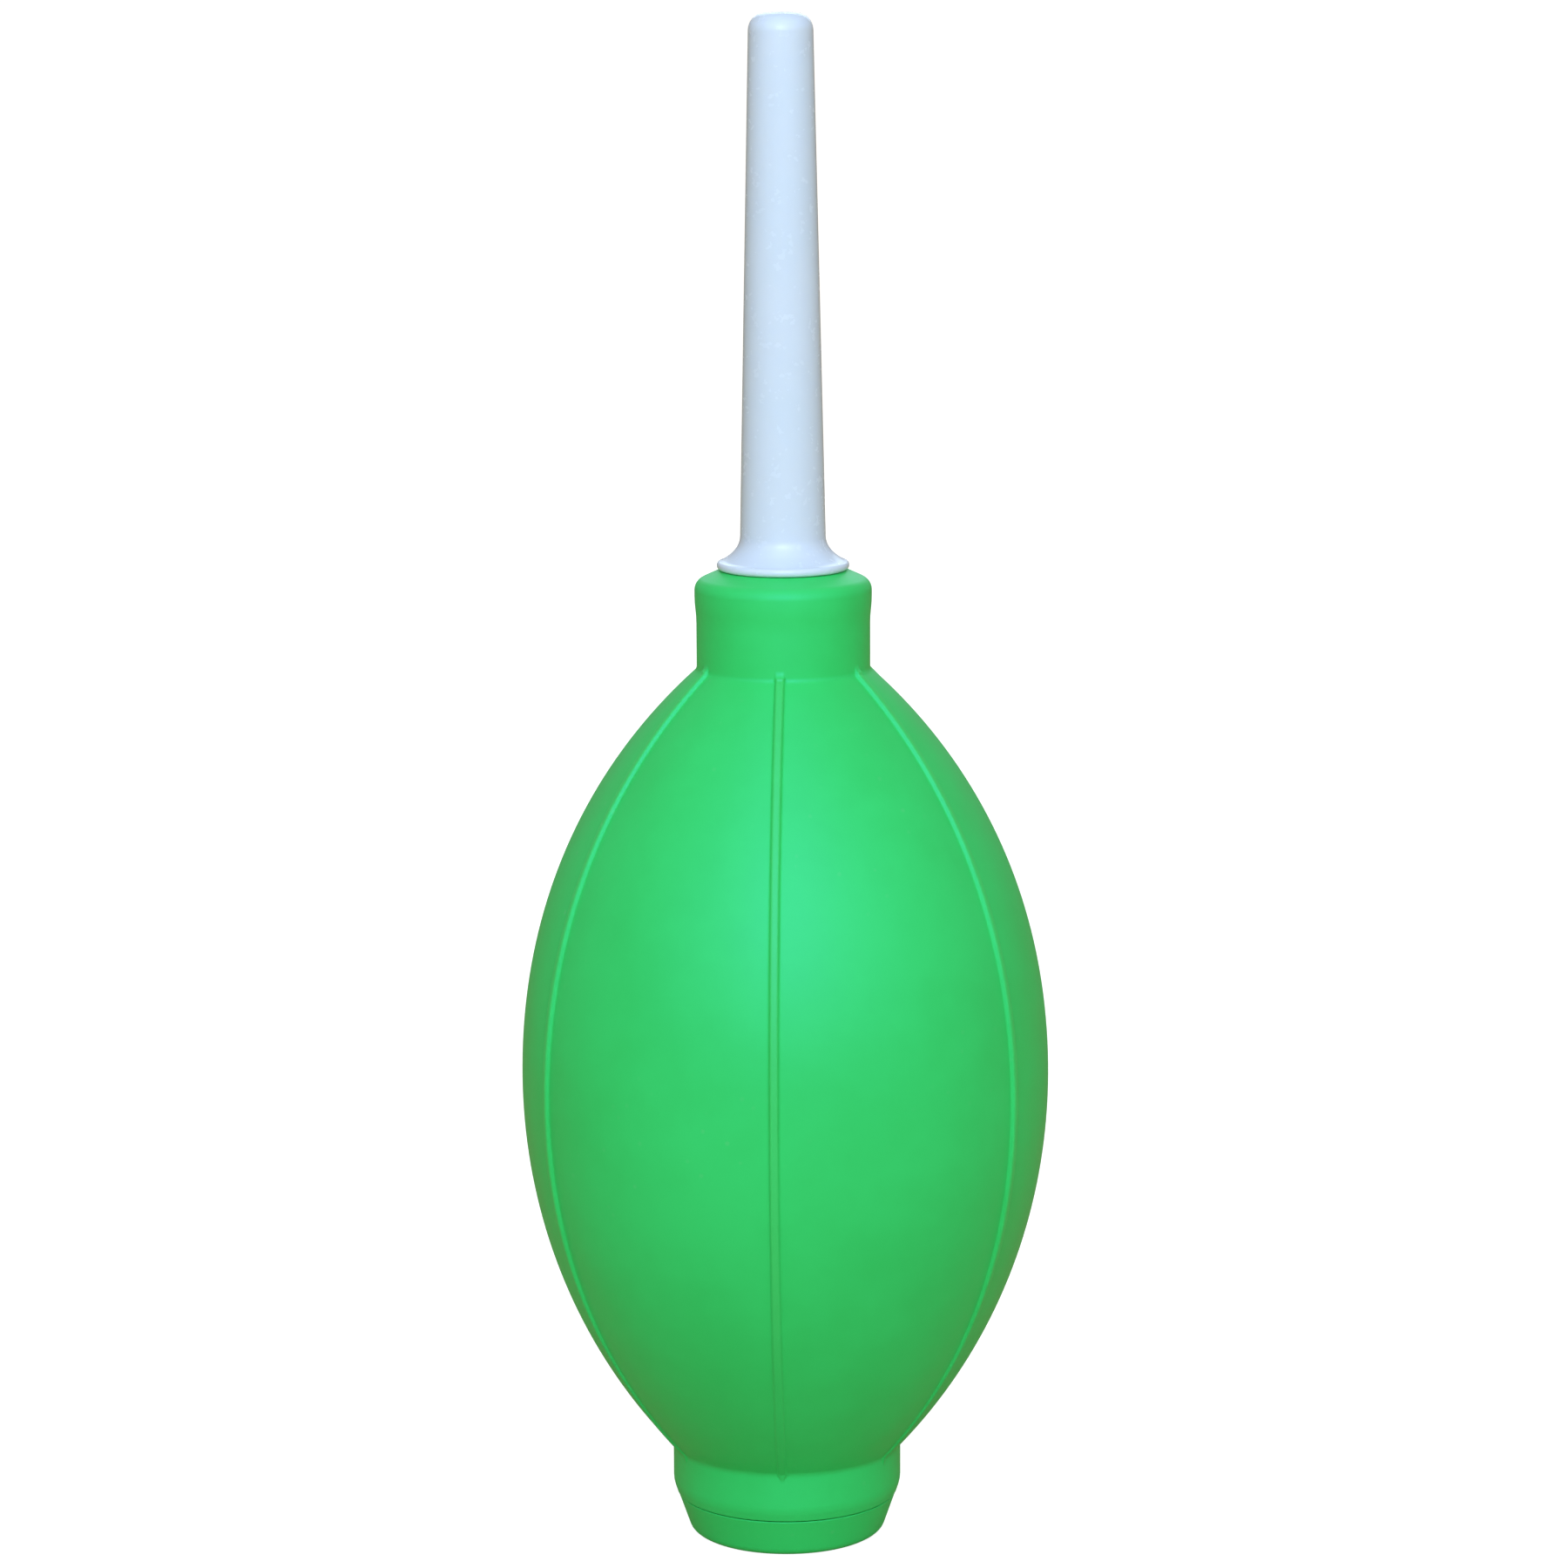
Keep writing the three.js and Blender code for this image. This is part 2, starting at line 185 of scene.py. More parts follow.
def line_normals(line: Sequence[Point]) -> list[Point]:
    """The direction to the right of a line at each of its points, as unit (radius, height)."""
    normals = []
    for i in range(len(line)):
        a, b = line[max(i - 1, 0)], line[min(i + 1, len(line) - 1)]
        along = Vector((b[0] - a[0], b[1] - a[1])).normalized()
        normals.append((along.y, -along.x))
    return normals


# ---- Meshes and objects ----


def finished_object(name: str, bm: bmesh.types.BMesh) -> bpy.types.Object:
    """Turns a bmesh into a smooth object with its sharp edges kept sharp, and frees it."""
    bm.normal_update()
    for edge in bm.edges:
        if edge.is_manifold and edge.calc_face_angle(0.0) > SHARP_ANGLE:
            edge.smooth = False
    for face in bm.faces:
        face.smooth = True
    mesh = bpy.data.meshes.new(name)
    bm.to_mesh(mesh)
    bm.free()
    piece = bpy.data.objects.new(name, mesh)
    bpy.context.scene.collection.objects.link(piece)
    return piece


def drawn_line(bm: bmesh.types.BMesh, line: Sequence[Point], closed: bool) -> list:
    """Draws a line in the XZ plane of a bmesh and returns its vertices and edges."""
    verts = [bm.verts.new((r, 0.0, z)) for r, z in line]
    ends = verts[1:] + verts[:1] if closed else verts[1:]
    return verts + [bm.edges.new(pair) for pair in zip(verts, ends)]


def turned_mesh(line: Sequence[Point], facets: int) -> bmesh.types.BMesh:
    """Turns a line about the Z axis into a closed shell with its faces outwards.

    The line is a closed outline clear of the axis, or an open one with both ends on it.
    """
    on_axis = line[0][0] == 0
    bm = bmesh.new()
    bmesh.ops.spin(
        bm,
        geom=drawn_line(bm, line, closed=not on_axis),
        cent=(0, 0, 0),
        axis=UP,
        angle=FULL_TURN,
        steps=facets,
        use_merge=True,
    )
    bmesh.ops.remove_doubles(bm, verts=bm.verts, dist=WELD_DISTANCE)
    bmesh.ops.recalc_face_normals(bm, faces=bm.faces)
    return bm


def turned_piece(name: str, corners: Sequence[Corner], facets: int) -> bpy.types.Object:
    """A turned piece whose outline is given as corners with their roundings."""
    closed = corners[0][0] > 0
    return finished_object(name, turned_mesh(rounded_line(corners, closed), facets))


def united(name: str, parts: Sequence[bmesh.types.BMesh], edge_round: float) -> bpy.types.Object:
    """Joins overlapping closed shells into one piece, rounds its edges and frees the shells."""
    whole, *others = [finished_object(f"{name}_{i}", bm) for i, bm in enumerate(parts)]
    for other in others:
        union = whole.modifiers.new(other.name, "BOOLEAN")
        union.operation = "UNION"
        union.solver = "EXACT"
        union.object = other
    bpy.context.view_layer.update()
    graph = bpy.context.evaluated_depsgraph_get()
    joined = bmesh.new()
    joined.from_mesh(bpy.data.meshes.new_from_object(whole.evaluated_get(graph)))
    for spare in [whole, *others]:
        bpy.data.objects.remove(spare)
    bmesh.ops.remove_doubles(joined, verts=joined.verts, dist=JOIN_DISTANCE)
    bmesh.ops.dissolve_limit(
        joined, angle_limit=math.radians(1), verts=joined.verts, edges=joined.edges
    )
    joined.normal_update()
    hard = [e for e in joined.edges if e.is_manifold and e.calc_face_angle(0.0) > SHARP_ANGLE]
    bmesh.ops.bevel(
        joined,
        geom=hard,
        offset=edge_round,
        affect="EDGES",
        segments=2,
        profile=0.5,
        material=-1,
        clamp_overlap=True,
    )
    return finished_object(name, joined)


def settle(
    piece: bpy.types.Object,
    material: bpy.types.Material,
    nodes: Iterable[str],
) -> bpy.types.Object:
    """Dresses a piece in a material and says which CAD nodes it stands for."""
    piece.data.materials.clear()
    piece.data.materials.append(material)
    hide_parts(*nodes)
    LOG.info("%s: %d faces, for %s", piece.name, len(piece.data.polygons), ", ".join(nodes))
    return piece


# ---- Node sheets and the effects that the materials share ----


class NodeSheet:
    """Adds and links the nodes of one node tree."""

    def __init__(self, tree: bpy.types.NodeTree) -> None:
        """Starts with an empty tree."""
        self.tree = tree
        tree.nodes.clear()

    def add(self, kind: str, **settings: object) -> bpy.types.Node:
        """Adds a node of a type and sets its properties."""
        node = self.tree.nodes.new(kind)
        for key, value in settings.items():
            setattr(node, key, value)
        return node

    def feed(self, socket: bpy.types.NodeSocket, value: object) -> None:
        """Links another node's output to a socket, or sets the socket's own value."""
        if isinstance(value, bpy.types.NodeSocket):
            self.tree.links.new(value, socket)
        else:
            socket.default_value = value

    def math(self, operation: str, a: object, b: object = 0.0) -> bpy.types.NodeSocket:
        """One math node's result."""
        node = self.add("ShaderNodeMath", operation=operation)
        self.feed(node.inputs[0], a)
        self.feed(node.inputs[1], b)
        return node.outputs[0]

    def weighed(self, a: object, share_a: float, b: object, share_b: float) -> bpy.types.NodeSocket:
        """The sum of two values, each times its share."""
        return self.math("ADD", self.math("MULTIPLY", a, share_a), self.math("MULTIPLY", b, share_b))

    def noise(self, place: object, scale: object, detail: float = 2.0) -> bpy.types.NodeSocket:
        """A three-dimensional noise, from 0 to 1."""
        node = self.add("ShaderNodeTexNoise", noise_dimensions="3D")
        self.feed(node.inputs["Vector"], place)
        self.feed(node.inputs["Scale"], scale)
        node.inputs["Detail"].default_value = detail
        return node.outputs["Fac"]

    def spread(
        self, value: object, low: float, high: float, to_low: object = 0.0, to_high: object = 1.0
    ) -> bpy.types.NodeSocket:
        """Moves a value's range from low..high to another, gently at both ends and clipped."""
        node = self.add("ShaderNodeMapRange", interpolation_type="SMOOTHSTEP")
        for name, entry in (
            ("Value", value),
            ("From Min", low),
            ("From Max", high),
            ("To Min", to_low),
            ("To Max", to_high),
        ):
            self.feed(node.inputs[name], entry)
        return node.outputs["Result"]

    def blend_colour(self, factor: object, a: object, b: object) -> bpy.types.NodeSocket:
        """Colour a where the factor is 0, and colour b where it is 1."""
        node = self.add("ShaderNodeMix", data_type="RGBA")
        self.feed(node.inputs["Factor"], factor)
        for name, colour in (("A", a), ("B", b)):
            socket = next(s for s in node.inputs if s.name == name and s.type == "RGBA")
            self.feed(socket, (*colour, 1.0) if isinstance(colour, tuple) else colour)
        return next(s for s in node.outputs if s.type == "RGBA")

    def bump(self, height: object, distance: float, strength: float) -> bpy.types.NodeSocket:
        """A bumped normal from a height."""
        node = self.add("ShaderNodeBump")
        self.feed(node.inputs["Height"], height)
        node.inputs["Distance"].default_value = distance
        node.inputs["Strength"].default_value = strength
        return node.outputs["Normal"]

    def place(self) -> bpy.types.NodeSocket:
        """Object coordinates, which are the model's own metres."""
        return self.add("ShaderNodeTexCoord").outputs["Object"]

    def group(self, tree: bpy.types.NodeTree, **values: object) -> bpy.types.Node:
        """Places a node group, with its inputs named by keywords."""
        node = self.add("ShaderNodeGroup", node_tree=tree)
        for name, value in values.items():
            self.feed(node.inputs[name.replace("_", " ").title()], value)
        return node


def new_group(
    name: str, inputs: dict[str, str], outputs: dict[str, str]
) -> tuple[NodeSheet, bpy.types.Node, bpy.types.Node]:
    """An empty node group with named sockets: its sheet, input node and output node."""
    tree = bpy.data.node_groups.new(name, "ShaderNodeTree")
    for sockets, in_out in ((inputs, "INPUT"), (outputs, "OUTPUT")):
        for socket_name, kind in sockets.items():
            tree.interface.new_socket(socket_name, in_out=in_out, socket_type=kind)
    sheet = NodeSheet(tree)
    return sheet, sheet.add("NodeGroupInput"), sheet.add("NodeGroupOutput")


VECTOR, FLOAT = "NodeSocketVector", "NodeSocketFloat"


def moulded_grain_group() -> bpy.types.NodeTree:
    """The fine pebbled grain that a mould leaves, as a height from 0 to 1."""
    sheet, entry, result = new_group(
        "moulded grain", {"Place": VECTOR, "Grain Size": FLOAT}, {"Height": FLOAT}
    )
    place = entry.outputs["Place"]
    scale = sheet.math("DIVIDE", 1.0, entry.outputs["Grain Size"])
    coarse = sheet.noise(place, scale, 3.0)
    fine = sheet.noise(place, sheet.math("MULTIPLY", scale, 2.7), 2.0)
    sheet.feed(result.inputs["Height"], sheet.weighed(coarse, 0.6, fine, 0.4))
    return sheet.tree


def uneven_tone_group() -> bpy.types.NodeTree:
    """Slow drifts of tone through a moulded piece, as a mask from 0 to 1."""
    sheet, entry, result = new_group(
        "uneven tone", {"Place": VECTOR, "Patch Size": FLOAT}, {"Mask": FLOAT}
    )
    place = entry.outputs["Place"]
    scale = sheet.math("DIVIDE", 1.0, entry.outputs["Patch Size"])
    broad = sheet.noise(place, scale, 2.0)
    small = sheet.noise(place, sheet.math("MULTIPLY", scale, 6.0), 3.0)
    drift = sheet.weighed(broad, 0.7, small, 0.3)
    sheet.feed(result.inputs["Mask"], sheet.spread(drift, 0.32, 0.68))
    return sheet.tree


def light_dust_group() -> bpy.types.NodeTree:
    """Fine dust that clings in specks, and more on what faces up, as a mask from 0 to 1."""
    sheet, entry, result = new_group(
        "light dust", {"Place": VECTOR, "Speck Size": FLOAT, "Amount": FLOAT}, {"Mask": FLOAT}
    )
    place = entry.outputs["Place"]
    scale = sheet.math("DIVIDE", 1.0, entry.outputs["Speck Size"])
    cells = sheet.add("ShaderNodeTexVoronoi", feature="F1")
    sheet.feed(cells.inputs["Vector"], place)
    sheet.feed(cells.inputs["Scale"], scale)
    speck = sheet.spread(cells.outputs["Distance"], 0.05, 0.16, 1.0, 0.0)
    patch = sheet.spread(sheet.noise(place, sheet.math("MULTIPLY", scale, 0.09), 2.0), 0.5, 0.72)
    split = sheet.add("ShaderNodeSeparateXYZ")
    sheet.feed(split.inputs[0], sheet.add("ShaderNodeNewGeometry").outputs["Normal"])
    upward = sheet.spread(split.outputs["Z"], -0.2, 0.9, 0.35, 1.0)
    settled = sheet.math("MULTIPLY", sheet.math("MULTIPLY", speck, patch), upward)
    sheet.feed(result.inputs["Mask"], sheet.math("MULTIPLY", settled, entry.outputs["Amount"]))
    return sheet.tree


@dataclass(frozen=True)
class Effects:
    """The node groups that more than one finish uses, built once."""

    grain: bpy.types.NodeTree = field(default_factory=moulded_grain_group)
    tone: bpy.types.NodeTree = field(default_factory=uneven_tone_group)
    dust: bpy.types.NodeTree = field(default_factory=light_dust_group)


# ---- Finishes ----


def new_material(name: str) -> tuple[bpy.types.Material, NodeSheet, bpy.types.Node]:
    """A material with a Principled shader wired to its output, its sheet and its shader."""
    material = bpy.data.materials.new(name)
    material.use_nodes = True
    sheet = NodeSheet(material.node_tree)
    shader = sheet.add("ShaderNodeBsdfPrincipled")
    output = sheet.add("ShaderNodeOutputMaterial")
    sheet.feed(output.inputs["Surface"], shader.outputs["BSDF"])
    return material, sheet, shader


@dataclass(frozen=True)
class GreenSilicone:
    """Satin green silicone rubber: the bulb and its foot cap."""

    colour: Colour = (0.04, 0.69, 0.15)
    deep_colour: Colour = (0.036, 0.64, 0.13)
    # The rib crests' colour is partly wear and partly a painted sheen along the crests.
    crest_wear_and_sheen_colour: Colour = (0.07, 0.63, 0.13)
    dust_colour: Colour = (0.5, 0.62, 0.55)
    roughness: tuple[float, float] = (0.43, 0.52)
    grain_size: float = 0.5 * MM
    grain_depth: float = 0.02 * MM
    patch_size: float = 22 * MM
    speck_size: float = 2.2 * MM
    # How far the rib crests shift to their colour: partly wear, partly a painted sheen.
    crest_wear_and_sheen: float = 0.45
    specular_tint: Colour = (0.2, 0.6, 1.0)

    def material(self, effects: Effects) -> bpy.types.Material:
        """Builds the material."""
        material, sheet, shader = new_material("green silicone")
        place = sheet.place()
        tone = sheet.group(effects.tone, place=place, patch_size=self.patch_size).outputs["Mask"]
        dust = sheet.group(
            effects.dust, place=place, speck_size=self.speck_size, amount=0.15
        ).outputs["Mask"]
        grain = sheet.group(effects.grain, place=place, grain_size=self.grain_size)
        height = grain.outputs["Height"]
        crest = sheet.add("ShaderNodeAttribute", attribute_name="rib_crest").outputs["Fac"]
        rubber = sheet.blend_colour(tone, self.deep_colour, self.colour)
        # Rib crests take a warmer, less blue green: partly wear, partly a painted sheen.
        wear_and_sheen = sheet.spread(crest, 0.55, 1.0, 0.0, self.crest_wear_and_sheen)
        worn_and_sheened = sheet.blend_colour(wear_and_sheen, rubber, self.crest_wear_and_sheen_colour)
        dusty = sheet.blend_colour(dust, worn_and_sheened, self.dust_colour)
        sheet.feed(shader.inputs["Base Color"], dusty)
        unevenness = sheet.weighed(tone, 0.6, height, 0.4)
        rough = sheet.spread(unevenness, 0.0, 1.0, *self.roughness)
        dulled = sheet.math("ADD", rough, sheet.math("MULTIPLY", dust, 0.3))
        sheet.feed(shader.inputs["Roughness"], dulled)
        sheet.feed(shader.inputs["Normal"], sheet.bump(height, self.grain_depth, 0.6))
        shader.inputs["IOR"].default_value = 1.43
        shader.inputs["Specular IOR Level"].default_value = 1.0
        shader.inputs["Specular Tint"].default_value = (*self.specular_tint, 1.0)
        return material


@dataclass(frozen=True)
class NozzlePlastic:
    """Glossy, faintly translucent blue-white plastic."""

    colour: Colour = (0.69, 0.79, 0.97)
    thin_colour: Colour = (0.67, 0.78, 0.96)
    dust_colour: Colour = (0.62, 0.62, 0.6)
    roughness: tuple[float, float] = (0.2, 0.3)
    grain_size: float = 1.6 * MM
    grain_depth: float = 0.01 * MM

    def material(self, effects: Effects) -> bpy.types.Material:
        """Builds the material."""
        material, sheet, shader = new_material("nozzle plastic")
        place = sheet.place()
        tone = sheet.group(effects.tone, place=place, patch_size=11 * MM).outputs["Mask"]
        dust = sheet.group(effects.dust, place=place, speck_size=1.7 * MM, amount=0.2)
        grain = sheet.group(effects.grain, place=place, grain_size=self.grain_size)
        height = grain.outputs["Height"]
        plastic = sheet.blend_colour(tone, self.thin_colour, self.colour)
        dusty = sheet.blend_colour(dust.outputs["Mask"], plastic, self.dust_colour)
        sheet.feed(shader.inputs["Base Color"], dusty)
        sheet.feed(shader.inputs["Roughness"], sheet.spread(height, 0.2, 0.8, *self.roughness))
        sheet.feed(shader.inputs["Normal"], sheet.bump(height, self.grain_depth, 0.4))
        shader.inputs["IOR"].default_value = 1.5
        shader.inputs["Subsurface Weight"].default_value = 0.2
        shader.inputs["Subsurface Radius"].default_value = (1.0, 0.9, 0.8)
        shader.inputs["Subsurface Scale"].default_value = 1.0 * MM
        return material


@dataclass(frozen=True)
class ValveMaterial:
    """A valve piece's moulded material, plain and matt."""

    name: str
    colour: Colour
    deep_colour: Colour
    roughness: tuple[float, float]
    grain_size: float
    grain_depth: float

    def material(self, effects: Effects) -> bpy.types.Material:
        """Builds the material."""
        material, sheet, shader = new_material(self.name)
        place = sheet.place()
        tone = sheet.group(effects.tone, place=place, patch_size=4 * MM).outputs["Mask"]
        grain = sheet.group(effects.grain, place=place, grain_size=self.grain_size)
        height = grain.outputs["Height"]
        mottled = sheet.blend_colour(tone, self.deep_colour, self.colour)
        sheet.feed(shader.inputs["Base Color"], mottled)
        sheet.feed(shader.inputs["Roughness"], sheet.spread(height, 0.25, 0.75, *self.roughness))
        sheet.feed(shader.inputs["Normal"], sheet.bump(height, self.grain_depth, 0.5))
        return material


VALVE_PLASTIC = ValveMaterial(
    name="valve plastic",
    colour=(0.74, 0.76, 0.77),
    deep_colour=(0.66, 0.68, 0.7),
    roughness=(0.38, 0.5),
    grain_size=0.4 * MM,
    grain_depth=0.01 * MM,
)
VALVE_RUBBER = ValveMaterial(
    name="valve rubber",
    colour=(0.03, 0.031, 0.034),
    deep_colour=(0.018, 0.019, 0.021),
    roughness=(0.6, 0.75),
    grain_size=0.3 * MM,
    grain_depth=0.015 * MM,
)


@dataclass(frozen=True)
class Wardrobe:
    """Every material of the object, built once."""

    silicone: bpy.types.Material
    nozzle: bpy.types.Material
    valve_plastic: bpy.types.Material
    valve_rubber: bpy.types.Material

    @classmethod
    def built(cls) -> "Wardrobe":
        """Builds the shared effects and then each material."""
        effects = Effects()
        return cls(
            silicone=GreenSilicone().material(effects),
            nozzle=NozzlePlastic().material(effects),
            valve_plastic=VALVE_PLASTIC.material(effects),
            valve_rubber=VALVE_RUBBER.material(effects),
        )


# ---- Bulb ----


class Half(Enum):
    """The two halves that the one rubber moulding is drawn in, by the side of Y = 0."""

    FRONT = -1
    BACK = 1

    @property
    def title(self) -> str:
        """The half's name."""
        return self.name.lower()


@dataclass(frozen=True)
class RibSection:
    """Half the cross-section of a rib: from its middle out to the bare wall beside it."""

    height: float = 0.4 * MM
    crest_half_width: float = 0.36 * MM
    foot_half_width: float = 0.56 * MM
    crest_round: float = 0.24 * MM
    foot_round: float = 0.2 * MM
    reach: float = 1.4 * MM

    def points(self, steps: int) -> list[Point]:
        """The section at equal shares of its length, as (distance from the middle, height)."""
        line = rounded_line(
            [
                (0.0, self.height, 0.0),
                (self.crest_half_width, self.height, self.crest_round),
                (self.foot_half_width, 0.0, self.foot_round),
                (self.reach, 0.0, 0.0),
            ],
            closed=False,
        )
        lengths = [0.0]
        for a, b in zip(line, line[1:]):
            lengths.append(lengths[-1] + math.dist(a, b))
        points, k = [], 0
        for i in range(steps + 1):
            wanted = lengths[-1] * i / steps
            while k < len(line) - 2 and lengths[k + 1] < wanted:
                k += 1
            share = (wanted - lengths[k]) / max(lengths[k + 1] - lengths[k], 1e-12)
            a, b = line[k], line[k + 1]
            points.append((mix(a[0], b[0], share), mix(a[1], b[1], share)))
        return points


@dataclass
class Bulb:
    """The hollow ribbed rubber bulb, with its neck and collar."""

    radius_inset: float = 0.1 * MM
    collar_radius: float = 12.42 * MM
    collar_taper: float = 0.38 * MM
    collar_taper_length: float = 1.1 * MM
    collar_length: float = 5.3 * MM
    collar_bore: float = 8.5 * MM
    collar_fillet: float = 1.1 * MM
    groove_depth: float = 0.6 * MM
    groove_width: float = 1.8 * MM
    groove_above_seam: float = 2.4 * MM
    lower_flank: float = 41.4 * MM
    upper_flank: float = 44.15 * MM
    upper_fullness: float = 1.9 * MM
    lower_fullness: float = 0.5 * MM
    wall: float = 2.4 * MM
    neck_radius: float = 9.25 * MM
    neck_length: float = 9.36 * MM
    neck_lip: float = 0.18 * MM
    lip_height: float = 2.2 * MM
    neck_round: float = 1.35 * MM
    neck_top_rise: float = 1.24 * MM
    neck_top_radius: float = 6.75 * MM
    neck_fillet: float = 0.8 * MM
    neck_bore: float = 5.85 * MM
    bore_round: float = 0.3 * MM
    solid_seam_gap: float = 0.3 * MM
    seam_gap: float = 0.16 * MM
    outer_step: float = 1.2 * MM
    inner_step: float = 2.4 * MM
    end_step: float = 0.1 * MM
    gentle_round: float = 12 * MM
    rib: RibSection = RibSection()
    rib_count: int = 6
    rib_columns: int = 16
    plain_columns: int = 24
    rib_tip_drop: float = 0.6 * MM
    rib_tip_length: float = 0.6 * MM
    rib_low_share: float = 0.5
    rib_low_length: float = 30 * MM
    rib_top_rise: float = 0.75 * MM
    gather_length: float = 2.5 * MM
    squeeze_start: float = 12.6 * MM
    squeeze_end: float = 31.0 * MM

    def __post_init__(self) -> None:
        """Takes the bulb's place from its CAD solid."""
        low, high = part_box("bulb_body")
        self.radius = high.x - self.radius_inset
        self.bottom = low.z
        self.collar_top = self.bottom + self.collar_length
        self.widest = self.collar_top + self.lower_flank
        self.neck_foot = self.widest + self.upper_flank
        self.neck_top = self.neck_foot + self.neck_length

    def flank(self, rise: float, end_radius: float, inset: float, below: bool) -> list[Corner]:
        """One flank of the belly, from the widest ring to its end.

        Args:
            rise: The flank's height along the axis.
            end_radius: The radius at which it stops.
            inset: How far inside the outer surface it runs.
            below: Whether it is the lower flank.

        Returns:
            Its points as unrounded corners, the widest ring first.
        """
        outer_end = self.collar_radius if below else self.neck_radius
        sagitta = self.radius - outer_end
        bend = (rise * rise + sagitta * sagitta) / (2 * sagitta)
        centre = self.radius - bend
        sweep = math.degrees(math.acos((end_radius - centre) / (bend - inset)))
        step = self.outer_step if inset == 0 else self.inner_step
        steps = round(bend * math.radians(sweep) / step)
        fullness = self.lower_fullness if below else self.upper_fullness
        arc = arc_points(
            (centre, self.widest), bend - inset, 0.0, -sweep if below else sweep, steps
        )
        shares = [abs(z - self.widest) / rise for _, z, _ in arc]
        return [
            (r + fullness * share * share * (1 - share), z, 0.0)
            for (r, z, _), share in zip(arc, shares)
        ]

    def outer_line(self) -> list[Point]:
        """The outside of the moulding, from the collar's lower edge to the neck's rim."""
        low = self.bottom - (self.solid_seam_gap - self.seam_gap) / 2
        lip = self.neck_radius + self.neck_lip
        lower = self.flank(self.lower_flank, self.collar_radius, 0.0, below=True)[::-1]
        upper = self.flank(self.upper_flank, self.neck_radius, 0.0, below=False)
        lower[0] = (*lower[0][:2], self.collar_fillet)
        upper[-1] = (*upper[-1][:2], self.neck_fillet)
        corners = [
            (self.collar_bore, low, 0.0),
            (self.collar_radius - self.collar_taper, low, 0.1 * MM),
            (self.collar_radius, self.bottom + self.collar_taper_length, 3 * MM),
            *lower,
            *upper[1:],
            (self.neck_radius, self.neck_top - 1.7 * self.lip_height, self.gentle_round),
            (lip, self.neck_top - self.lip_height, self.gentle_round),
            (lip, self.neck_top, self.neck_round),
            (self.neck_top_radius, self.neck_top + self.neck_top_rise, 0.5 * MM),
            (self.neck_bore, self.neck_top + self.neck_top_rise, 0.0),
        ]
        line = rounded_line(corners, closed=False)
        fine = [
            (self.collar_top - self.rib_tip_drop, self.end_step),
            (self.neck_foot + self.neck_fillet / 2, self.end_step),
        ]
        return split_long(line, self.outer_step, fine)

    def inner_line(self, top: Point) -> list[Point]:
        """The inside of the moulding, from just under the neck's rim to the collar's foot."""
        lower = self.flank(self.lower_flank, self.collar_bore, self.wall, below=True)
        upper = self.flank(self.upper_flank, self.neck_bore, self.wall, below=False)[::-1]
        middle = self.bottom + self.groove_above_seam
        half = self.groove_width / 2
        deep = self.collar_bore + self.groove_depth
        corners = [
            (top[0], top[1] - self.bore_round, 0.0),
            *upper,
            *lower[1:],
            (self.collar_bore, middle + half, 0.15 * MM),
            (deep, middle + half / 2, 0.2 * MM),
            (deep, middle - half / 2, 0.2 * MM),
            (self.collar_bore, middle - half, 0.15 * MM),
            (self.collar_bore, self.bottom + 0.4 * MM, 0.0),
        ]
        return split_long(rounded_line(corners, closed=False), 2.5 * MM)

    def rib_strength(self, height: float) -> float:
        """How much of a rib's section stands at a height: 0 off its ends, 1 between them."""
        tip = self.collar_top - self.rib_tip_drop
        up = min(1.0, max(0.0, (height - tip) / self.rib_tip_length))
        end = self.neck_foot + self.rib_top_rise
        down = min(1.0, max(0.0, (end - height) / (0.7 * self.rib_top_rise)))
        above = (height - self.collar_top) / self.rib_low_length
        stands = mix(self.rib_low_share, 1.0, ease(above))
        return stands * math.sqrt(1 - (1 - up) ** 2) * ease(down)

    def gathering(self, height: float) -> float:
        """How far the columns of faces are gathered to the ribs at a height, from 0 to 1."""
        below = self.collar_top - self.rib_tip_drop - height
        above = height - self.neck_foot - self.rib_top_rise
        return 1 - ease(max(below, above, 0.0) / self.gather_length)

    def spun_half(self, half: Half) -> bmesh.types.BMesh:
        """One half of the moulding, still without its ribs.

        Its layer "outward" holds the wall's direction on the outside, and nothing inside.
        """
        outer = self.outer_line()
        inner = self.inner_line(outer[-1])
        bm = bmesh.new()
        outward = bm.verts.layers.float_vector.new("outward")
        line = drawn_line(bm, [*outer, *inner], closed=True)
        for vert, (nr, nz) in zip(line, line_normals(outer)):
            vert[outward] = (nr, 0.0, nz)
        per_sector = 2 * (self.rib_columns + self.plain_columns)
        spun = bmesh.ops.spin(
            bm,
            geom=line,
            cent=(0, 0, 0),
            axis=UP * half.value,
            angle=math.pi,
            steps=per_sector * self.rib_count // 2,
            use_merge=False,
        )
        first = [e for e in line if isinstance(e, bmesh.types.BMEdge)]
        last = [e for e in spun["geom_last"] if isinstance(e, bmesh.types.BMEdge)]
        for rim in (first, last):
            bmesh.ops.triangle_fill(bm, edges=rim, use_beauty=True)
        bmesh.ops.recalc_face_normals(bm, faces=bm.faces)
        return bm

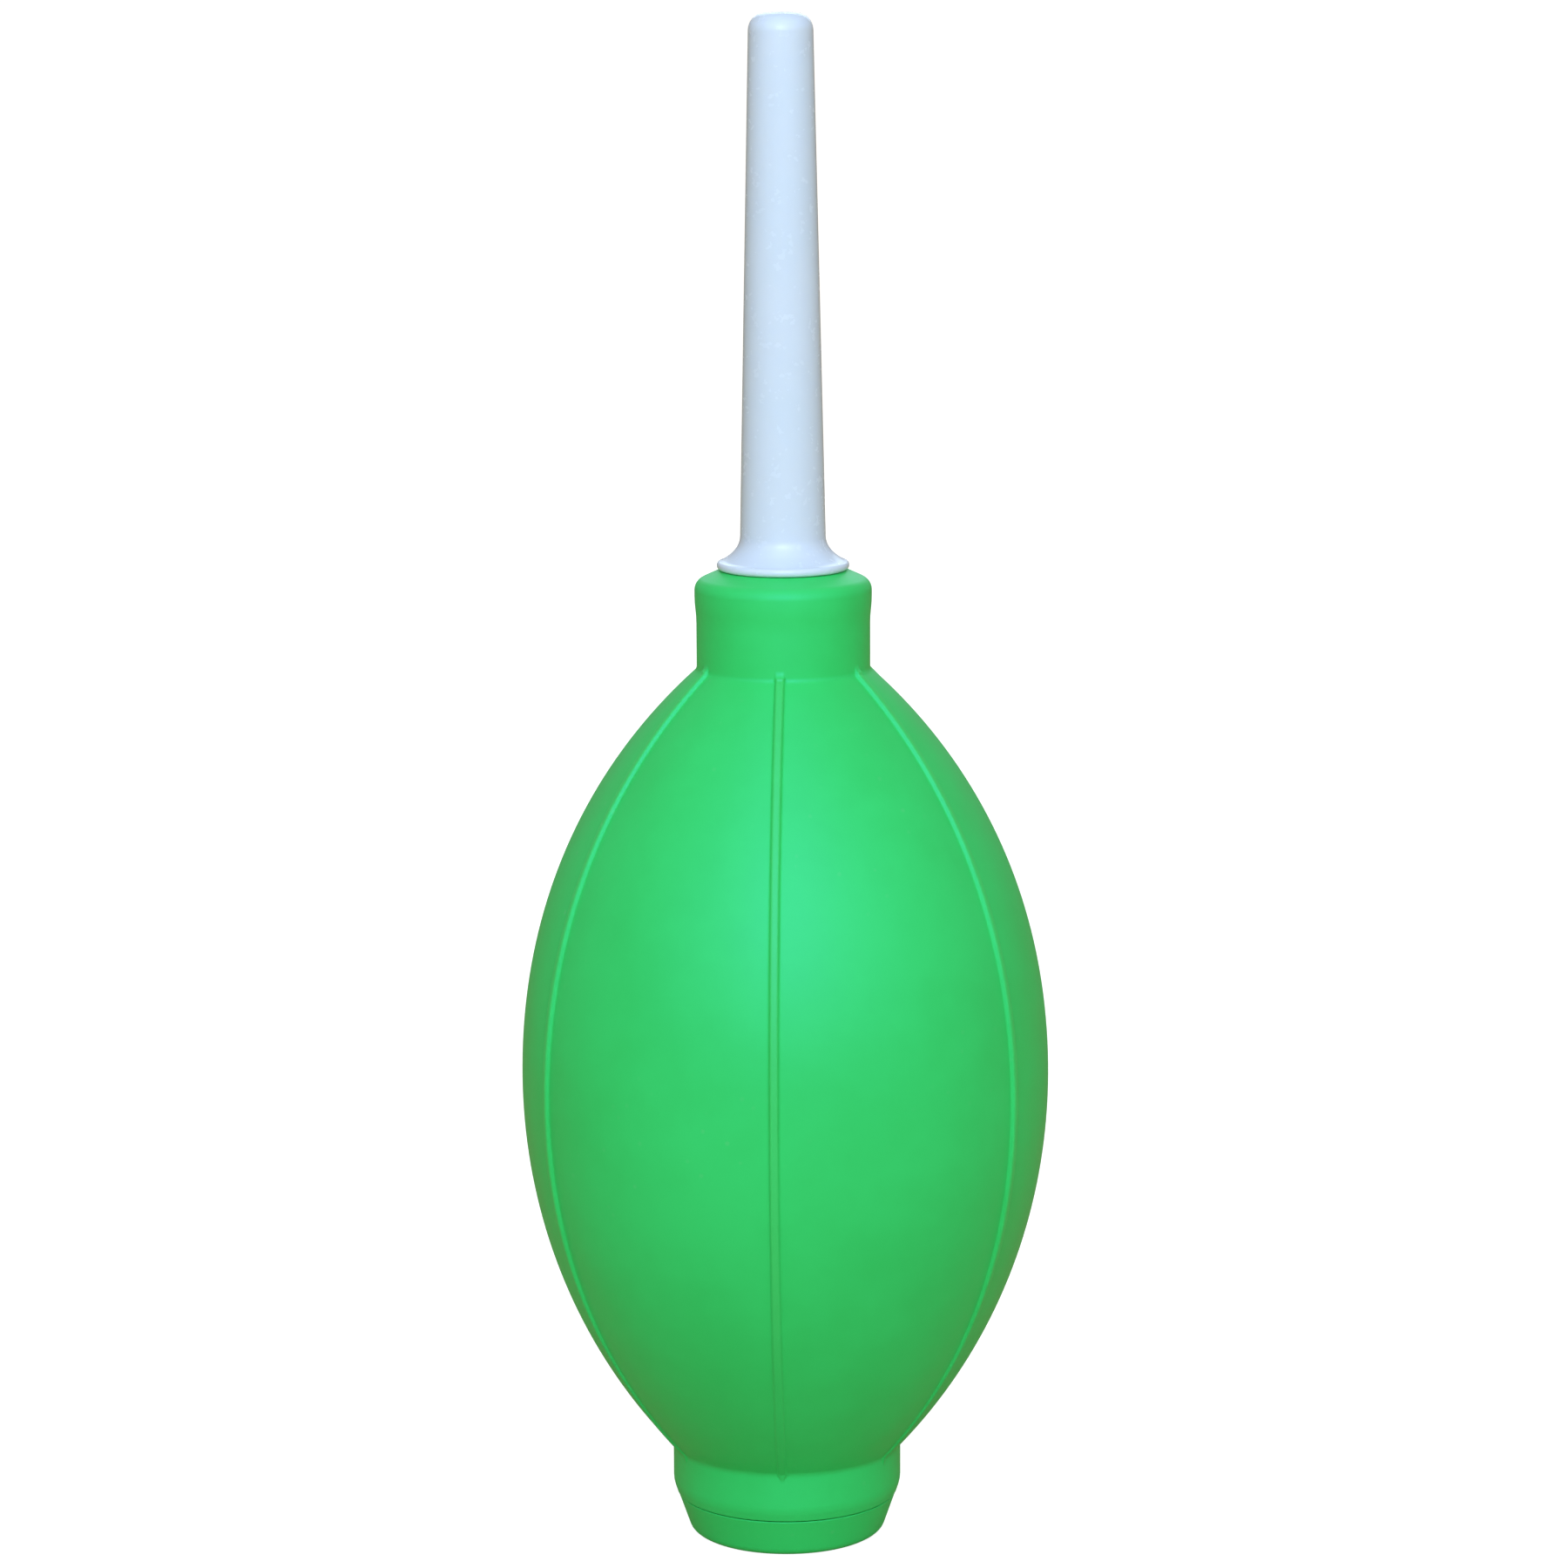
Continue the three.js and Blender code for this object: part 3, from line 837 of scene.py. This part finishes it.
    def raise_ribs(self, bm: bmesh.types.BMesh, half: Half) -> None:
        """Gathers a half's columns of faces at each rib and lifts the ribs out of the wall."""
        outward = bm.verts.layers.float_vector["outward"]
        crest = bm.verts.layers.float.new("rib_crest")
        sector = FULL_TURN / self.rib_count
        columns = self.rib_columns + self.plain_columns
        section = self.rib.points(self.rib_columns)
        for vert in bm.verts:
            radial, _, vertical = vert[outward]
            if radial == 0 and vertical == 0:
                continue
            x, y, z = vert.co
            around = math.atan2(x, y * half.value)
            middle = round(around / sector) * sector
            offset = abs(around - middle)
            column = round(offset / (sector / 2) * columns)
            if column == columns:
                continue
            side = math.copysign(1.0, around - middle)
            radius = math.hypot(x, y)
            strength = self.rib_strength(z)
            tip = (z - self.collar_top + self.rib_tip_drop) / self.rib_tip_length
            width = mix(0.45, 1.0, ease(tip))
            edge = math.asin(self.rib.reach / radius)
            if column <= self.rib_columns:
                distance, height = section[column]
                inside = column < self.rib_columns
                gathered = math.asin(distance * width / radius) if inside else edge
            else:
                height = 0.0
                share = (column - self.rib_columns) / self.plain_columns
                gathered = mix(edge, sector / 2, share)
            angle = middle + side * mix(offset, gathered, self.gathering(z))
            lift = height * strength
            vert[crest] = lift / self.rib.height
            radius += lift * radial
            vert.co = (
                radius * math.sin(angle),
                radius * math.cos(angle) * half.value,
                z + lift * vertical,
            )

    def built_half(self, half: Half) -> bpy.types.Object:
        """One finished half, shaded so that no line shows where the halves meet."""
        bm = self.spun_half(half)
        self.raise_ribs(bm, half)
        bm.normal_update()
        seam_normals = []
        for vert in bm.verts:
            level = Vector()
            if abs(vert.co.y) < WELD_DISTANCE:
                skin = [f for f in vert.link_faces if abs(f.normal.y) < 0.5]
                level = sum((f.normal for f in skin), Vector())
                level.y = 0
                level.normalize()
            seam_normals.append(level)
        piece = finished_object(f"bulb_{half.title}_half", bm)
        piece.data.normals_split_custom_set_from_vertices(seam_normals)
        return piece

    def build(self, wardrobe: Wardrobe) -> None:
        """Builds both halves, each standing in for its own side wall."""
        for half in Half:
            piece = self.built_half(half)
            nodes = [f"bulb_{half.title}_wall"]
            if half is Half.FRONT:
                nodes.append("bulb_body")
            settle(piece, wardrobe.silicone, nodes)
            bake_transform(piece)


# ---- Foot cap ----


@dataclass
class FootCap:
    """The cap that the bulb stands on, with the air inlet through its floor."""

    taper: float = 1.5 * MM
    edge_round: float = 1.15 * MM
    top_inset: float = 0.16 * MM
    floor: float = 2.2 * MM
    inlet_radius: float = 3.6 * MM
    inlet_chamfer: float = 0.6 * MM
    pocket_radius: float = 6.3 * MM
    plug_radius: float = 8.2 * MM
    bead_height: float = 0.6 * MM
    bead_half_width: float = 0.6 * MM
    bead_above_top: float = 2.7 * MM
    height: float = 4.29 * MM
    facets: int = 144

    def build(self, wardrobe: Wardrobe) -> None:
        """Builds the cap."""
        low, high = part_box("foot_cap")
        bottom, radius = low.z, high.x - self.top_inset
        top = bottom + self.height
        bead = top + self.bead_above_top
        bead_radius = self.plug_radius + self.bead_height
        small = 0.12 * MM
        piece = turned_piece(
            "foot_cap_shell",
            [
                (self.inlet_radius + self.inlet_chamfer, bottom, small),
                (radius - self.taper, bottom, self.edge_round),
                (radius, top, 0.1 * MM),
                (self.plug_radius, top, small),
                (self.plug_radius, bead - self.bead_half_width, small),
                (bead_radius, bead - self.bead_half_width / 3, 2 * small),
                (bead_radius, bead + self.bead_half_width / 3, 2 * small),
                (self.plug_radius, bead + self.bead_half_width, small),
                (self.plug_radius, high.z, 3 * small),
                (self.pocket_radius, high.z, 2 * small),
                (self.pocket_radius, bottom + self.floor, small),
                (self.inlet_radius, bottom + self.floor, small),
                (self.inlet_radius, bottom + self.inlet_chamfer, small),
            ],
            self.facets,
        )
        settle(piece, wardrobe.silicone, ["foot_cap"])
        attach(piece, "bulb")


# ---- Nozzle ----


@dataclass
class Nozzle:
    """The long tapered nozzle, its flange and the barbed stem that the neck grips."""

    root_radius: float = 4.54 * MM
    tip_radius: float = 3.38 * MM
    tip_round: float = 1.95 * MM
    tip_bore: float = 1.2 * MM
    tip_chamfer: float = 0.25 * MM
    root_bore: float = 2.9 * MM
    length: float = 58.4 * MM
    flange_thickness: float = 0.9 * MM
    rim_round: float = 0.44 * MM
    flare_height: float = 2.9 * MM
    flare_power: float = 2.45
    flare_steps: int = 18
    stem_radius: float = 5.2 * MM
    barb_height: float = 0.5 * MM
    barb_pitch: float = 3.2 * MM
    barb_length: float = 1.8 * MM
    barb_count: int = 3
    pocket_radius: float = 4.1 * MM
    valve_gap: float = 0.1 * MM
    facets: int = 160

    def stem_corners(self, bottom: float) -> list[Corner]:
        """The stem's outside from its lower end to its last barb."""
        corners = [(self.stem_radius - self.barb_height, bottom, 0.12 * MM)]
        for i in range(self.barb_count):
            foot = bottom + self.barb_height + i * self.barb_pitch
            tip = foot + self.barb_length
            corners += [
                (self.stem_radius, foot, 0.2 * MM),
                (self.stem_radius + self.barb_height, tip, 0.1 * MM),
                (self.stem_radius, tip + 0.1 * MM, 0.08 * MM),
            ]
        return corners

    def flare_corners(self, start_radius: float, start: float) -> list[Corner]:
        """The hollow curve from the flange up into the tube."""
        corners = []
        for i in range(1, self.flare_steps + 1):
            share = i / self.flare_steps
            spread = (1 - share) ** self.flare_power
            radius = mix(self.root_radius, start_radius, spread)
            corners.append((radius, start + self.flare_height * share, 0.0))
        return corners

    def build(self, wardrobe: Wardrobe) -> None:
        """Builds the nozzle."""
        low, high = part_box("nozzle")
        pocket_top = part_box("outlet_valve_cup")[1].z + self.valve_gap
        radius, top = high.x, high.z
        flange = top - self.length
        flange_top = flange + self.flange_thickness
        crest = radius - self.rim_round
        piece = turned_piece(
            "nozzle_shell",
            [
                *self.stem_corners(low.z),
                (self.stem_radius, flange, 0.15 * MM),
                (radius, flange, self.rim_round),
                (radius, flange_top, self.rim_round),
                (crest, flange_top, 0.0),
                *self.flare_corners(crest, flange_top),
                (self.tip_radius, top, self.tip_round),
                (self.tip_bore + self.tip_chamfer, top, 0.1 * MM),
                (self.tip_bore, top - self.tip_chamfer, 0.1 * MM),
                (self.root_bore, flange_top, 0.3 * MM),
                (self.root_bore, pocket_top, 0.1 * MM),
                (self.pocket_radius, pocket_top, 0.1 * MM),
                (self.pocket_radius, low.z, 0.1 * MM),
            ],
            self.facets,
        )
        settle(piece, wardrobe.nozzle, ["nozzle"])
        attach(piece, "nozzle")


# ---- Valves ----


class ValvePlace(Enum):
    """Where a valve sits, with the body that its cup and cap ride on."""

    INTAKE = "bulb"
    OUTLET = "nozzle"

    @property
    def title(self) -> str:
        """The first word of the valve's pieces."""
        return self.name.lower()


@dataclass
class Valve:
    """A one-way valve: a cup with a raised seat, a loose disc and a spoked cap over it."""

    place: ValvePlace
    wall: float
    floor: float
    port_radius: float
    seat_width: float
    seat_height: float
    cap_width: float
    hub_radius: float
    spoke_width: float
    edge_round: float
    spoke_count: int = 4
    facets: int = 96

    def build_cup(self, wardrobe: Wardrobe) -> None:
        """Builds the cup that holds the rest."""
        node = f"{self.place.title}_valve_cup"
        low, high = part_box(node)
        inside = high.x - self.wall
        seat_radius = self.port_radius + self.seat_width
        floor_top = low.z + self.floor
        soft = self.edge_round
        piece = turned_piece(
            f"{node}_shell",
            [
                (self.port_radius, low.z, soft),
                (high.x, low.z, 2 * soft),
                (high.x, high.z, soft),
                (inside, high.z, soft),
                (inside, floor_top, soft),
                (seat_radius, floor_top, soft),
                (seat_radius, floor_top + self.seat_height, soft),
                (self.port_radius, floor_top + self.seat_height, soft),
            ],
            self.facets,
        )
        settle(piece, wardrobe.valve_plastic, [node])
        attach(piece, self.place.value)

    def build_disc(self, wardrobe: Wardrobe) -> None:
        """Builds the loose rubber disc."""
        node = f"{self.place.title}_valve_disc"
        low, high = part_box(node)
        soft = 1.4 * self.edge_round
        piece = turned_piece(
            f"{node}_flap",
            [
                (0.0, low.z, 0.0),
                (high.x, low.z, soft),
                (high.x, high.z, soft),
                (0.0, high.z, 0.0),
            ],
            self.facets,
        )
        settle(piece, wardrobe.valve_rubber, [node])
        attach(piece, f"{self.place.title}_disc")

    def build_cap(self, wardrobe: Wardrobe) -> None:
        """Builds the ring, hub and spokes that stop the disc's lift."""
        node = f"{self.place.title}_valve_cap"
        low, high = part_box(node)
        outer = high.x
        inner = outer - self.cap_width
        middle = (low.z + high.z) / 2
        ring = turned_mesh(
            [(inner, low.z), (outer, low.z), (outer, high.z), (inner, high.z)], self.facets
        )
        hub = turned_mesh(
            [(0.0, low.z), (self.hub_radius, low.z), (self.hub_radius, middle), (0.0, middle)],
            self.facets // 2,
        )
        parts = [ring, hub]
        for i in range(self.spoke_count // 2):
            spoke = bmesh.new()
            bmesh.ops.create_cube(spoke, size=1.0)
            bmesh.ops.scale(
                spoke,
                vec=(inner + outer, self.spoke_width, middle - low.z),
                verts=spoke.verts,
            )
            bmesh.ops.rotate(
                spoke,
                matrix=Matrix.Rotation(i * FULL_TURN / self.spoke_count, 3, "Z"),
                verts=spoke.verts,
            )
            bmesh.ops.translate(spoke, vec=UP * (low.z + middle) / 2, verts=spoke.verts)
            parts.append(spoke)
        piece = united(f"{node}_frame", parts, self.edge_round)
        settle(piece, wardrobe.valve_plastic, [node])
        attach(piece, self.place.value)

    def build(self, wardrobe: Wardrobe) -> None:
        """Builds the valve's three pieces."""
        self.build_cup(wardrobe)
        self.build_disc(wardrobe)
        self.build_cap(wardrobe)


INTAKE_VALVE = Valve(
    place=ValvePlace.INTAKE,
    wall=1.1 * MM,
    floor=1.4 * MM,
    port_radius=2.4 * MM,
    seat_width=0.7 * MM,
    seat_height=0.5 * MM,
    cap_width=1.2 * MM,
    hub_radius=1.3 * MM,
    spoke_width=1.0 * MM,
    edge_round=0.1 * MM,
)
OUTLET_VALVE = Valve(
    place=ValvePlace.OUTLET,
    wall=0.7 * MM,
    floor=1.1 * MM,
    port_radius=1.4 * MM,
    seat_width=0.5 * MM,
    seat_height=0.4 * MM,
    cap_width=0.7 * MM,
    hub_radius=0.8 * MM,
    spoke_width=0.7 * MM,
    edge_round=0.07 * MM,
)


# ---- Studio ----


@dataclass(frozen=True)
class SoftBox:
    """A large soft light, aimed at a point on the object's axis."""

    name: str
    around: float
    above: float
    distance: float
    width: float
    height: float
    power: float
    colour: Colour = DAYLIGHT
    aim: float = 60 * MM

    def place(self) -> None:
        """Sets up the light. Angles are in degrees, round from the front towards +X."""
        light = bpy.data.lights.new(self.name, "AREA")
        light.shape = "RECTANGLE"
        light.size = self.width
        light.size_y = self.height
        light.energy = self.power
        light.color = self.colour
        lamp = bpy.data.objects.new(self.name, light)
        bpy.context.scene.collection.objects.link(lamp)
        target = UP * self.aim
        away = direction_from(self.around, self.above)
        lamp.location = target + away * self.distance
        lamp.rotation_euler = away.to_track_quat("Z", "Y").to_euler()


def direction_from(around: float, above: float) -> Vector:
    """The unit direction out to a place round and above the object, in degrees."""
    flat, rise = math.radians(around), math.radians(above)
    return Vector(
        (math.sin(flat) * math.cos(rise), -math.cos(flat) * math.cos(rise), math.sin(rise))
    )


@dataclass
class Studio:
    """The floor, the lights and the camera."""

    floor_half_width: float = 30.0
    floor_white: Colour = (0.36, 0.36, 0.36)
    floor_lift: float = 0.92
    floor_bounce: Colour = (0.55, 0.42, 0.2)
    sky_seen: Colour = (1.0, 1.0, 1.0)
    sky_glow: Colour = (0.4, 0.36, 0.3)
    camera_target: float = 82.8 * MM
    camera_distance: float = 523.4 * MM
    camera_around: float = 2.4
    camera_above: float = 10.3
    camera_roll: float = -0.26
    camera_lens: float = 112.3
    sensor_width: float = 36.0
    boxes: tuple[SoftBox, ...] = (
        SoftBox("key", 3, 28, 0.9, 0.5, 0.4, 4.4),
        SoftBox("high", 0, 60, 0.9, 0.6, 0.5, 1.5),
        SoftBox("right_fill", 40, 25, 0.9, 0.5, 0.5, 1.2),
        SoftBox("left_fill", -40, 25, 0.9, 0.5, 0.5, 1.0),
        SoftBox("back_fill", 180, 30, 0.9, 0.6, 0.5, 2.0),
    )

    def lay_floor(self) -> None:
        """Lays a plain pale floor that throws back dimmer, warmer light than it shows."""
        bm = bmesh.new()
        bmesh.ops.create_grid(bm, x_segments=1, y_segments=1, size=self.floor_half_width)
        floor = finished_object("floor", bm)
        material = bpy.data.materials.new("pale floor")
        material.use_nodes = True
        sheet = NodeSheet(material.node_tree)
        lit, thrown = sheet.add("ShaderNodeBsdfDiffuse"), sheet.add("ShaderNodeBsdfDiffuse")
        lift, shown = sheet.add("ShaderNodeEmission"), sheet.add("ShaderNodeAddShader")
        sheet.feed(lit.inputs["Color"], (*self.floor_white, 1.0))
        sheet.feed(lift.inputs["Strength"], self.floor_lift)
        sheet.feed(shown.inputs[0], lit.outputs[0])
        sheet.feed(shown.inputs[1], lift.outputs[0])
        sheet.feed(thrown.inputs["Color"], (*self.floor_bounce, 1.0))
        self.split_by_camera(sheet, thrown, shown, "ShaderNodeOutputMaterial")
        floor.data.materials.append(material)

    def hang_sky(self) -> None:
        """Surrounds the scene with a dim warm glow that looks white behind the object."""
        world = bpy.data.worlds.new("sky")
        bpy.context.scene.world = world
        world.use_nodes = True
        sheet = NodeSheet(world.node_tree)
        glow, seen = sheet.add("ShaderNodeBackground"), sheet.add("ShaderNodeBackground")
        sheet.feed(glow.inputs["Color"], (*self.sky_glow, 1.0))
        sheet.feed(seen.inputs["Color"], (*self.sky_seen, 1.0))
        self.split_by_camera(sheet, glow, seen, "ShaderNodeOutputWorld")

    @staticmethod
    def split_by_camera(
        sheet: NodeSheet, other: bpy.types.Node, seen: bpy.types.Node, output: str
    ) -> None:
        """Shows one shader to the camera, and gives another to the light that bounces."""
        switch = sheet.add("ShaderNodeMixShader")
        sheet.feed(switch.inputs[0], sheet.add("ShaderNodeLightPath").outputs["Is Camera Ray"])
        sheet.feed(switch.inputs[1], other.outputs[0])
        sheet.feed(switch.inputs[2], seen.outputs[0])
        sheet.feed(sheet.add(output).inputs["Surface"], switch.outputs[0])

    def set_camera(self) -> None:
        """Sets the camera a little above the nozzle's tip, looking slightly down."""
        data = bpy.data.cameras.new("camera")
        data.lens = self.camera_lens
        data.sensor_width = self.sensor_width
        data.clip_end = 2 * self.floor_half_width
        camera = bpy.data.objects.new("camera", data)
        bpy.context.scene.collection.objects.link(camera)
        away = direction_from(self.camera_around, self.camera_above)
        camera.location = UP * self.camera_target + away * self.camera_distance
        facing = away.to_track_quat("Z", "Y").to_matrix()
        roll = Matrix.Rotation(math.radians(self.camera_roll), 3, "Z")
        camera.rotation_euler = (facing @ roll).to_euler()
        bpy.context.scene.camera = camera

    def build(self) -> None:
        """Sets up the whole studio."""
        self.set_camera()
        self.lay_floor()
        self.hang_sky()
        for box in self.boxes:
            box.place()
        bpy.context.scene.view_settings.view_transform = "Standard"


# ---- The whole ----


def main() -> None:
    """Builds every piece round the frame."""
    logging.basicConfig(level=logging.INFO, format="%(name)s: %(message)s")
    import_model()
    Studio().build()
    wardrobe = Wardrobe.built()
    Bulb().build(wardrobe)
    FootCap().build(wardrobe)
    Nozzle().build(wardrobe)
    INTAKE_VALVE.build(wardrobe)
    OUTLET_VALVE.build(wardrobe)


if __name__ == "__main__":
    main()
